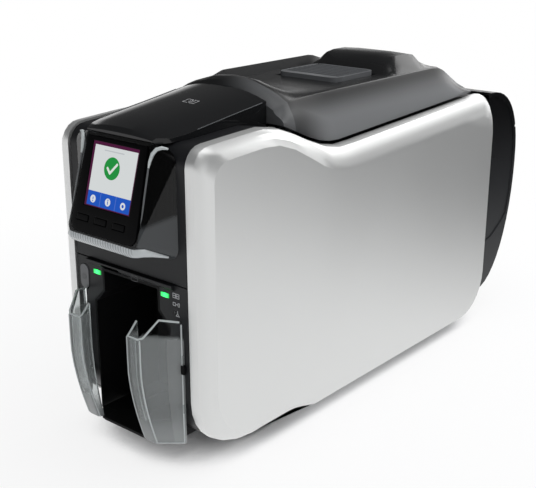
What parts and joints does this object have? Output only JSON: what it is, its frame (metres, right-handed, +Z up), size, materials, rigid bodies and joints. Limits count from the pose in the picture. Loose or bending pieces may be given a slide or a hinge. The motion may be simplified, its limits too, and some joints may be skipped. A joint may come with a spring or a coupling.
{
  "type": "id card printer",
  "caption": "Desktop card printer with a hinged lid, a tilted touch display, clear output wings and a rear card hopper with its own cover.",
  "frame": {"origin": "on the table, under the middle of the machine", "axes": "+X to the right of a user in front, +Y from the display to the rear hopper, +Z up"},
  "size_m": [0.15, 0.48, 0.266],
  "materials": {
    "silver_paint": "satin",
    "dark_shell": "fine texture",
    "dark_inner": "matte",
    "gloss_black": "gloss",
    "clear_plastic": "clear plastic",
    "screen": "lit screen",
    "green_light": "lit guide",
    "rubber_black": "matte",
    "steel": "brushed",
    "blue_plastic": "satin",
    "port_metal": "plated",
    "grey_plastic": "matte",
    "ribbon": "film",
    "cleaning_rubber": "tacky",
    "pulley_plastic": "moulded",
    "brass": "machined",
    "board_green": "solder mask",
    "ceramic_head": "glazed"
  },
  "bodies": {
    "machine": {"base_tray": "dark_inner", "rubber_feet": "rubber_black", "left_side_panel": "silver_paint", "right_side_panel": "silver_paint", "upper_fascia": "dark_shell", "lower_fascia": "dark_shell", "output_bay": "dark_inner", "output_tray": "dark_inner", "left_output_wing": "clear_plastic", "right_output_wing": "clear_plastic", "status_light_guides": "green_light", "clear_surround": "clear_plastic", "display_bezel": "gloss_black", "screen_module": "screen", "front_hood": "gloss_black", "bay_frame": "dark_inner", "rear_cover": "dark_shell", "rear_shroud": "gloss_black", "hopper_hinge_pin": "steel", "power_inlet": "dark_inner", "usb_port": "port_metal", "network_port": "port_metal", "lid_hinge_pins": "steel", "chassis": "steel", "ribbon_cartridge": "grey_plastic", "ribbon_film": "ribbon", "drive_belt": "rubber_black", "drive_motor": "steel", "motor_belt": "rubber_black", "main_board": "board_green", "card_guide": "grey_plastic"},
    "lid": {"lid_shell": "dark_shell", "lid_frame": "grey_plastic", "printhead_bracket": "steel", "printhead": "ceramic_head"},
    "release_pad": {"release_pad": "grey_plastic"},
    "latch": {"latch_bar": "steel"},
    "left_key": {"left_menu_button": "gloss_black"},
    "middle_key": {"middle_menu_button": "gloss_black"},
    "right_key": {"right_menu_button": "gloss_black"},
    "power_key": {"power_button": "grey_plastic"},
    "hopper_lid": {"hopper_cover": "gloss_black"},
    "weight": {"card_weight": "grey_plastic"},
    "lever": {"thickness_lever": "blue_plastic"},
    "feed_drive": {"feed_roller": "rubber_black", "feed_pulley": "pulley_plastic"},
    "transport_drive": {"transport_roller": "rubber_black", "transport_pulley": "pulley_plastic"},
    "platen_drive": {"platen_roller": "rubber_black", "platen_pulley": "pulley_plastic"},
    "exit_drive": {"exit_roller": "rubber_black", "exit_pulley": "pulley_plastic"},
    "cleaner": {"cleaning_roller": "cleaning_rubber"},
    "motor_shaft": {"motor_pulley": "brass"},
    "supply": {"supply_spool": "ribbon"},
    "takeup": {"takeup_spool": "ribbon"}
  },
  "joints": [
    {"name": "lid_hinge", "type": "hinge", "parent": "machine", "child": "lid", "pos_m": [0, 0.152, 0.22887], "axis": [-1, 0, 0], "range_deg": [0, 65]},
    {"name": "release_press", "type": "slide", "parent": "lid", "child": "release_pad", "axis": [0, 0, -1], "range_m": [0, 0.0025], "stiffness_N_per_m": 600},
    {"name": "latch_turn", "type": "hinge", "parent": "lid", "child": "latch", "pos_m": [0, -0.092, 0.23353], "axis": [1, 0, 0], "range_deg": [0, 10]},
    {"name": "left_key_press", "type": "slide", "parent": "machine", "child": "left_key", "axis": [0, 0.9613, -0.2756], "range_m": [0, 0.0008], "stiffness_N_per_m": 300},
    {"name": "middle_key_press", "type": "slide", "parent": "machine", "child": "middle_key", "axis": [0, 0.9613, -0.2756], "range_m": [0, 0.0008], "stiffness_N_per_m": 300},
    {"name": "right_key_press", "type": "slide", "parent": "machine", "child": "right_key", "axis": [0, 0.9613, -0.2756], "range_m": [0, 0.0008], "stiffness_N_per_m": 300},
    {"name": "power_press", "type": "slide", "parent": "machine", "child": "power_key", "axis": [0, 1, 0], "range_m": [0, 0.0008], "stiffness_N_per_m": 300},
    {"name": "hopper_hinge", "type": "hinge", "parent": "machine", "child": "hopper_lid", "pos_m": [0, 0.23533, 0.1826], "axis": [-1, 0, 0], "range_deg": [0, 95]},
    {"name": "weight_lift", "type": "slide", "parent": "machine", "child": "weight", "axis": [0, 0, 1], "range_m": [0, 0.04]},
    {"name": "lever_slide", "type": "slide", "parent": "machine", "child": "lever", "axis": [0, 1, 0], "range_m": [0, 0.012]},
    {"name": "transport_turn", "type": "hinge", "parent": "machine", "child": "transport_drive", "pos_m": [0, 0.05, 0.119], "axis": [1, 0, 0], "continuous": true},
    {"name": "feed_turn", "type": "hinge", "parent": "machine", "child": "feed_drive", "pos_m": [0, 0.133, 0.119], "axis": [1, 0, 0], "continuous": true},
    {"name": "platen_turn", "type": "hinge", "parent": "machine", "child": "platen_drive", "pos_m": [0, -0.02, 0.119], "axis": [1, 0, 0], "continuous": true},
    {"name": "exit_turn", "type": "hinge", "parent": "machine", "child": "exit_drive", "pos_m": [0, -0.138, 0.119], "axis": [1, 0, 0], "continuous": true},
    {"name": "cleaner_turn", "type": "hinge", "parent": "machine", "child": "cleaner", "pos_m": [0, 0.103, 0.1339], "axis": [1, 0, 0], "continuous": true},
    {"name": "motor_turn", "type": "hinge", "parent": "machine", "child": "motor_shaft", "pos_m": [0, 0.05, 0.062], "axis": [1, 0, 0], "continuous": true},
    {"name": "supply_turn", "type": "hinge", "parent": "machine", "child": "supply", "pos_m": [0, -0.084, 0.182], "axis": [1, 0, 0], "continuous": true},
    {"name": "takeup_turn", "type": "hinge", "parent": "machine", "child": "takeup", "pos_m": [0, 0.044, 0.182], "axis": [1, 0, 0], "continuous": true}
  ],
  "couplings": [
    {"joint": "feed_turn", "follows": "transport_turn", "ratio": 1},
    {"joint": "platen_turn", "follows": "transport_turn", "ratio": 1},
    {"joint": "exit_turn", "follows": "transport_turn", "ratio": 1},
    {"joint": "motor_turn", "follows": "transport_turn", "ratio": 3},
    {"joint": "latch_turn", "follows": "release_press", "rad_per_m": 68.417}
  ]
}
